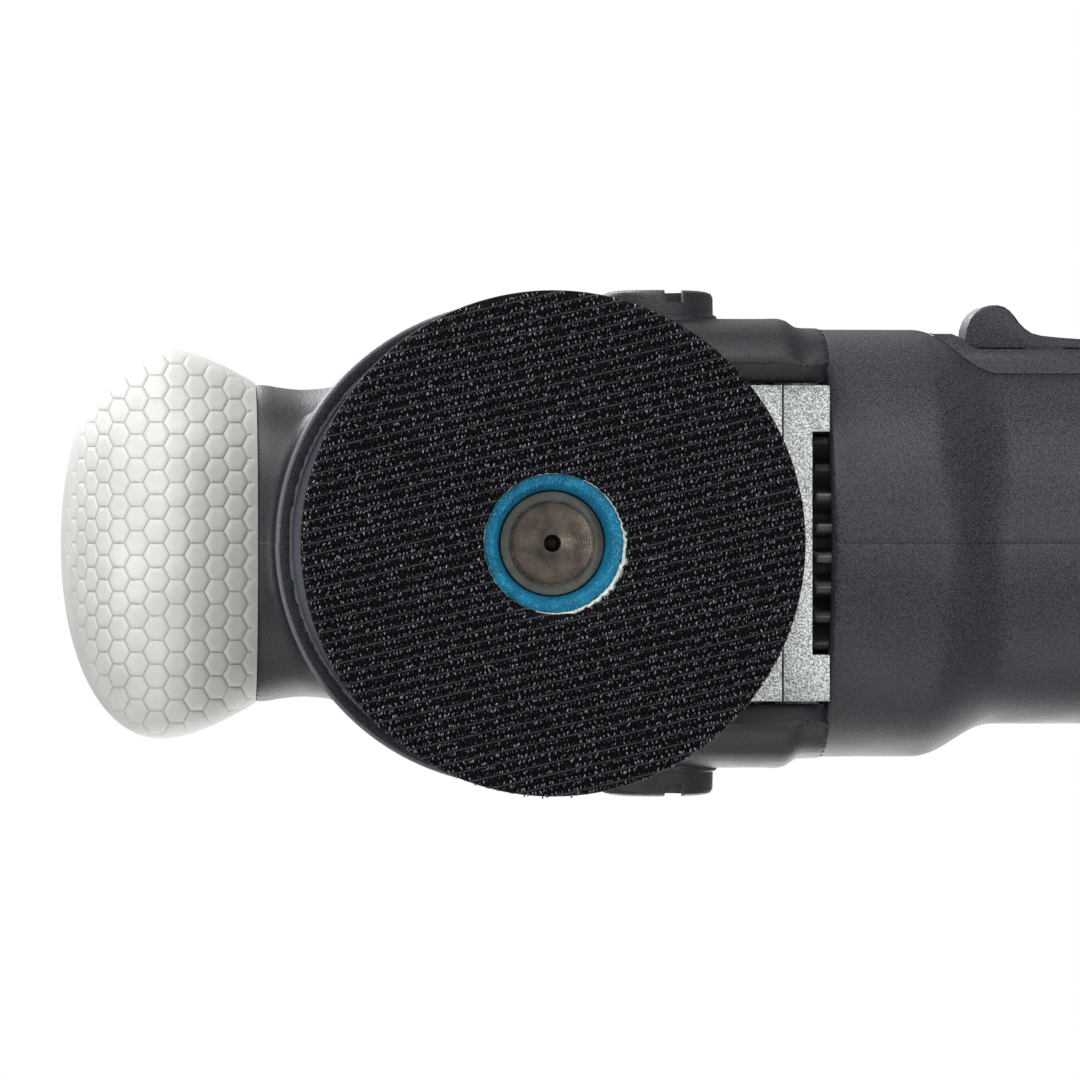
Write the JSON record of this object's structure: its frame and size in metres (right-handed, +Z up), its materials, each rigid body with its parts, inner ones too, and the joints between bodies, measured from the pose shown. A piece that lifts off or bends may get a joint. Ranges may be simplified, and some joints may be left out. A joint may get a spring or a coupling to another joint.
{
  "type": "orbital sander",
  "caption": "Compact mains dual-action sander: hook pad on an eccentric counterweight, bevel gear head, side-handle bosses, rubber front grip and straight motor handle with slide switch.",
  "frame": {"origin": "centre of the bounding box's base, on the plane of the pad's hook face", "axes": "+X from the front grip to the cord gland, along the motor; +Y to the tool's right, away from the slide switch; +Z up, from the pad to the top of the head"},
  "size_m": [0.2953, 0.0798, 0.1041],
  "materials": {
    "white_rubber": "matt overmoulded rubber with an embossed hexagon pattern",
    "black_shell": "fine-grained black glass-filled plastic",
    "silver_paint": "fine-textured silver paint on a die casting",
    "hook_fabric": "black hook fabric",
    "pad_foam": "black foam, closed at the cut edge",
    "blue_plastic": "satin blue moulding",
    "steel": "bright turned steel",
    "dark_steel": "dull grey-brown steel",
    "copper": "enamelled copper",
    "brass": "plain brass",
    "carbon": "pressed carbon",
    "grey_plastic": "satin grey plastic",
    "black_rubber": "matt black rubber",
    "board": "green laminate"
  },
  "bodies": {
    "body": {"armature_bearing_front": "steel", "armature_bearing_rear": "steel", "bearing_cover": "silver_paint", "brush_cap_bottom": "black_shell", "brush_cap_top": "black_shell", "brush_holder_bottom": "brass", "brush_holder_top": "brass", "brush_spring_bottom": "steel", "brush_spring_top": "steel", "carbon_brush_bottom": "carbon", "carbon_brush_top": "carbon", "cord_clamp": "grey_plastic", "cord_gland": "black_rubber", "cover_screw_1": "steel", "cover_screw_2": "steel", "cover_screw_3": "steel", "cover_screw_4": "steel", "field_stack": "dark_steel", "field_winding_front": "copper", "field_winding_rear": "copper", "front_grip": "white_rubber", "gear_housing": "silver_paint", "handle_insert_left": "brass", "handle_insert_right": "brass", "head_cover_left": "black_shell", "head_cover_right": "black_shell", "housing_screw_1": "steel", "housing_screw_2": "steel", "housing_screw_3": "steel", "motor_flange": "silver_paint", "motor_housing_left": "black_shell", "motor_housing_right": "black_shell", "rear_bearing_boot": "black_rubber", "speed_board": "board", "spindle_bearing_lower": "steel", "spindle_bearing_upper": "steel", "switch_bezel": "black_rubber", "switch_module": "black_shell"},
    "spindle": {"main_spindle": "steel", "crown_gear": "dark_steel", "counterweight": "dark_steel", "orbit_bearing_lower": "steel", "orbit_bearing_upper": "steel", "orbit_circlip": "steel"},
    "pad": {"orbit_spindle": "steel", "pad_insert": "dark_steel", "pad_plate": "blue_plastic", "pad_foam": "pad_foam", "hook_face": "hook_fabric"},
    "armature": {"armature_shaft": "steel", "armature_core": "dark_steel", "armature_winding_front": "copper", "armature_winding_rear": "copper", "commutator": "copper", "cooling_fan": "grey_plastic", "pinion": "dark_steel"},
    "switch": {"switch_slider": "black_shell", "switch_link": "grey_plastic"},
    "dial": {"speed_dial": "grey_plastic"}
  },
  "joints": [
    {"name": "spindle_spin", "type": "hinge", "parent": "body", "child": "spindle", "pos_m": [-0.07835, 0, 0.04], "axis": [0, 0, 1], "continuous": true},
    {"name": "pad_spin", "type": "hinge", "parent": "spindle", "child": "pad", "pos_m": [-0.07435, 0, 0.02], "axis": [0, 0, 1], "continuous": true},
    {"name": "armature_spin", "type": "hinge", "parent": "body", "child": "armature", "pos_m": [0.00165, 0, 0.07], "axis": [1, 0, 0], "continuous": true},
    {"name": "switch_slide", "type": "slide", "parent": "body", "child": "switch", "axis": [-1, 0, 0], "range_m": [0, 0.0045]},
    {"name": "speed_dial_turn", "type": "hinge", "parent": "body", "child": "dial", "pos_m": [0.10765, 0, 0.0896], "axis": [0, 1, 0], "range_deg": [0, 270]}
  ],
  "couplings": [
    {"joint": "armature_spin", "follows": "spindle_spin", "ratio": 3.4}
  ]
}
